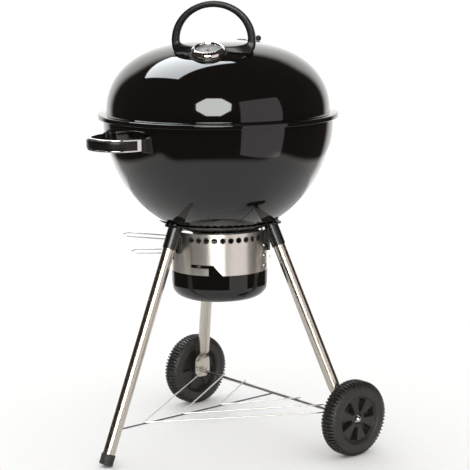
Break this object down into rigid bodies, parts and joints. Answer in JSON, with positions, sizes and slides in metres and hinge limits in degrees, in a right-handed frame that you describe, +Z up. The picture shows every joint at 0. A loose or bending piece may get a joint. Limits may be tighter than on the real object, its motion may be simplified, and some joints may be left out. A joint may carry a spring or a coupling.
{
  "type": "kettle charcoal grill",
  "caption": "Round black kettle charcoal grill on a leg frame with wheels, lift-off lid with thermometer, side handle, air collar, twist-off ash pot and wire shelf.",
  "frame": {"origin": "centre of the footprint's bounding box, on the ground", "axes": "+Z up; -Y towards the front leg and the side handle; X along the wheel axle"},
  "size_m": [0.69, 0.683, 1.13],
  "materials": {
    "enamel": "gloss black vitreous enamel",
    "black_paint": "semi-gloss black paint",
    "stainless": "polished and brushed stainless steel",
    "rubber": "matt black rubber",
    "bright_fasteners": "bright plated fasteners",
    "plated_wire": "bright plated wire",
    "zinc_steel": "dull zinc plated steel",
    "handle_chrome": "bright chrome plate",
    "handle_plastic": "satin black moulded plastic",
    "dial": "grey printed sheet",
    "needle_paint": "orange painted pointer",
    "clear_glass": "clear flat glass",
    "aluminium_sheet": "brushed aluminium sheet",
    "wheel_plastic": "matt blown plastic"
  },
  "bodies": {
    "root": {"kettle_bowl": "enamel", "support_hoop": "black_paint", "front_leg_socket": "black_paint", "right_leg_socket": "black_paint", "left_leg_socket": "black_paint", "front_leg": "stainless", "right_leg": "stainless", "left_leg": "stainless", "foot_cap": "rubber", "socket_screws": "bright_fasteners", "wheel_axle": "zinc_steel", "axle_washers": "bright_fasteners", "axle_nuts": "bright_fasteners", "shelf_spine": "plated_wire", "outer_shelf_wire": "plated_wire", "middle_shelf_wire": "plated_wire", "inner_shelf_wire": "plated_wire", "side_handle_frame": "handle_chrome", "side_handle_grip": "handle_plastic", "side_handle_brackets": "handle_plastic", "side_handle_screws": "bright_fasteners", "air_collar": "stainless", "collar_brackets": "black_paint", "collar_rivets": "bright_fasteners", "grate_supports": "zinc_steel"},
    "lid": {"kettle_lid": "enamel", "lid_handle": "handle_plastic", "lid_handle_screws": "bright_fasteners", "thermometer_bezel": "handle_chrome", "thermometer_dial": "dial", "thermometer_glass": "clear_glass", "thermometer_stem": "bright_fasteners", "thermometer_nut": "bright_fasteners", "lid_vent_rivet": "bright_fasteners"},
    "needle": {"thermometer_needle": "needle_paint"},
    "lid_vent": {"lid_vent_disc": "aluminium_sheet", "lid_vent_knob": "handle_plastic"},
    "sweeper": {"sweeper_spindle": "zinc_steel", "sweeper_blades": "aluminium_sheet", "sweeper_nut": "bright_fasteners", "sweeper_lever": "plated_wire", "sleeve_clip": "bright_fasteners"},
    "damper": {"damper_disc": "aluminium_sheet", "damper_sleeve": "zinc_steel", "damper_lever": "plated_wire"},
    "pot": {"ash_pot": "enamel", "bayonet_pins": "bright_fasteners"},
    "wheel_left": {"left_wheel": "wheel_plastic"},
    "wheel_right": {"right_wheel": "wheel_plastic"},
    "cook_grate": {"cooking_grate": "plated_wire", "grate_handles": "plated_wire"},
    "coal_grate": {"charcoal_grate": "zinc_steel"}
  },
  "joints": [
    {"name": "lid_lift", "type": "slide", "parent": "root", "child": "lid", "axis": [0, 0, 1], "range_m": [0, 0.35]},
    {"name": "lid_vent_turn", "type": "hinge", "parent": "lid", "child": "lid_vent", "pos_m": [-0.04386, 0.18295, 1.01051], "axis": [-0.085, 0.2781, 0.9568], "range_deg": [0, 60]},
    {"name": "needle_turn", "type": "hinge", "parent": "lid", "child": "needle", "pos_m": [0.11014, -0.07656, 1.00726], "axis": [0.2257, -0.2379, 0.9447], "range_deg": [0, 270]},
    {"name": "sweeper_turn", "type": "hinge", "parent": "root", "child": "sweeper", "pos_m": [0, 0.0395, 0.5], "axis": [0, 0, 1], "range_deg": [-20, 34]},
    {"name": "damper_turn", "type": "hinge", "parent": "root", "child": "damper", "pos_m": [0, 0.0395, 0.53], "axis": [0, 0, 1], "range_deg": [-40, 0]},
    {"name": "pot_twist", "type": "hinge", "parent": "root", "child": "pot", "pos_m": [0, 0.0395, 0.45], "axis": [0, 0, 1], "range_deg": [-8, 14]},
    {"name": "wheel_left_roll", "type": "hinge", "parent": "root", "child": "wheel_left", "pos_m": [-0.322, 0.2059, 0.0955], "axis": [1, 0, 0], "continuous": true},
    {"name": "wheel_right_roll", "type": "hinge", "parent": "root", "child": "wheel_right", "pos_m": [0.322, 0.2059, 0.0955], "axis": [1, 0, 0], "continuous": true},
    {"name": "cooking_grate_lift", "type": "slide", "parent": "root", "child": "cook_grate", "axis": [0, 0, 1], "range_m": [0, 0.04]},
    {"name": "charcoal_grate_lift", "type": "slide", "parent": "root", "child": "coal_grate", "axis": [0, 0, 1], "range_m": [0, 0.1]}
  ]
}
